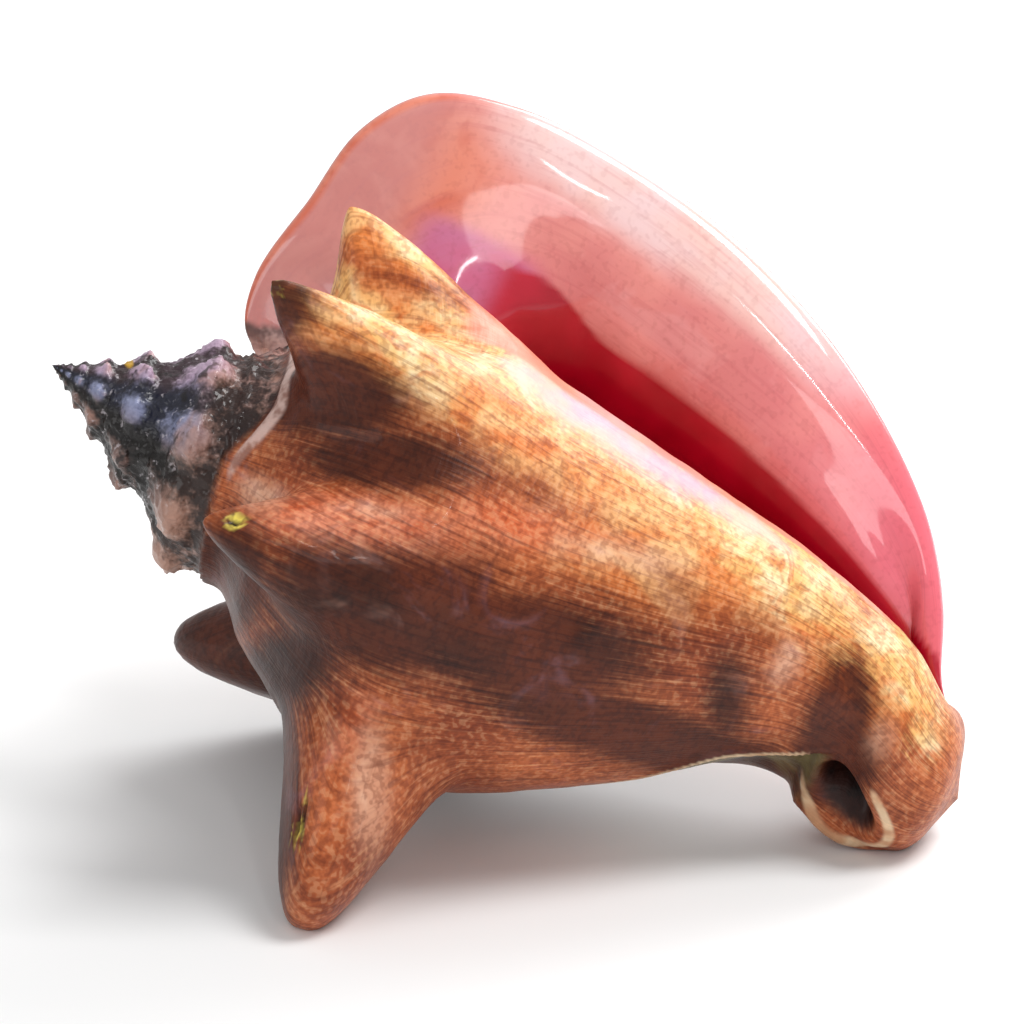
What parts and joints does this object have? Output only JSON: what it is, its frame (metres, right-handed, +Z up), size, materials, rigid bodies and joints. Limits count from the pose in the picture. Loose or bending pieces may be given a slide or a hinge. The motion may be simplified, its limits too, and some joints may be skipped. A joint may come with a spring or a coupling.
{
  "type": "conch shell",
  "caption": "Large sea snail shell with a knobbed spire, blunt shoulder spines, a wide flared lip and a long open aperture, lying on two spines and its canal.",
  "frame": {"origin": "centre of the bounding box's base, on the ground the shell lies on", "axes": "+X from the spire to the canal, +Y away from the open belly, +Z up"},
  "size_m": [0.2104, 0.1444, 0.1547],
  "materials": {
    "shell": "glossy, orange to rust brown outside, pink inside the lip"
  },
  "bodies": {
    "root": {"shell": "shell"}
  },
  "joints": []
}
